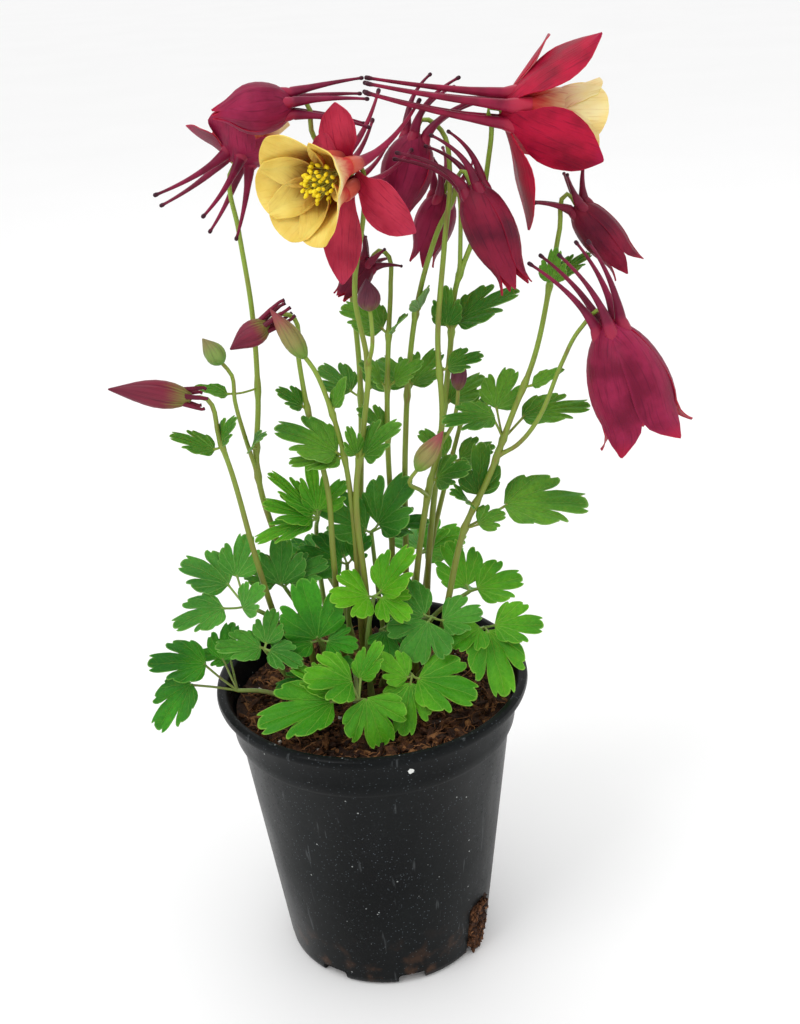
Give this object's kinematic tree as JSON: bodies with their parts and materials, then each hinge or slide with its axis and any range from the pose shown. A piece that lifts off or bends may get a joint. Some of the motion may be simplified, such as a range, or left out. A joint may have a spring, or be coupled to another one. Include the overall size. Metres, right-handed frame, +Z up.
{
  "type": "potted columbine plant",
  "caption": "Columbine in a round nursery pot: lobed basal leaves, tall branching stems, spurred crimson and yellow flowers, and buds.",
  "frame": {"origin": "middle of the pot's flat underside, on the surface it stands on", "axes": "+Z up along the pot's axis and the plant's height; -Y is the side that the open flower faces; +X is to the right of someone looking at that side"},
  "size_m": [0.2124, 0.1324, 0.3777],
  "materials": {
    "pot": "semi-gloss black, dusty and lightly scratched",
    "soil": "rough bark and coir",
    "leaf": "matt leaf surface",
    "stem": "smooth, slightly waxy",
    "crimson": "satin petal",
    "yellow": "satin petal",
    "anther": "powdery",
    "bud": "satin"
  },
  "bodies": {
    "root": {"pot": "pot", "soil": "soil", "leaf_front": "leaf", "leaf_front_right": "leaf", "leaf_middle_right": "leaf", "leaf_right_rim": "leaf", "leaf_right_back": "leaf", "leaf_bright": "leaf", "leaf_upper_left": "leaf", "leaf_left_big": "leaf", "leaf_left_back": "leaf", "leaf_left": "leaf", "leaf_left_rim": "leaf", "leaf_strip": "leaf", "leaf_low_left": "leaf", "leaf_centre": "leaf", "leaf_high": "leaf", "leaf_tuft": "leaf", "leaf_back_right": "leaf", "leaf_back_left": "leaf", "stem_far_left": "stem", "stem_left": "stem", "stem_pink_bud": "stem", "stem_slim_bud": "stem", "stem_open_flower": "stem", "stem_young_flower": "stem", "stem_first_bell": "stem", "stem_hidden_bell": "stem", "stem_tall": "stem", "stem_great_flower": "stem", "stem_right": "stem", "stem_right_back": "stem", "flower_open_crimson": "crimson", "flower_open_yellow": "yellow", "flower_open_stamens": "anther", "flower_great_crimson": "crimson", "flower_great_yellow": "yellow", "flower_great_stamens": "anther", "flower_first_bell_crimson": "crimson", "flower_left_crimson": "crimson", "flower_left_yellow": "yellow", "flower_left_stamens": "anther", "flower_dark_left_crimson": "crimson", "flower_dark_bell_crimson": "crimson", "flower_hidden_bell_crimson": "crimson", "flower_small_right_crimson": "crimson", "flower_right_bell_crimson": "crimson", "flower_young_crimson": "crimson", "bud_far_left": "bud", "bud_pink": "bud", "bud_green": "bud", "bud_slim": "bud", "bud_round": "bud", "bud_low": "bud", "bud_dark": "bud"}
  },
  "joints": []
}
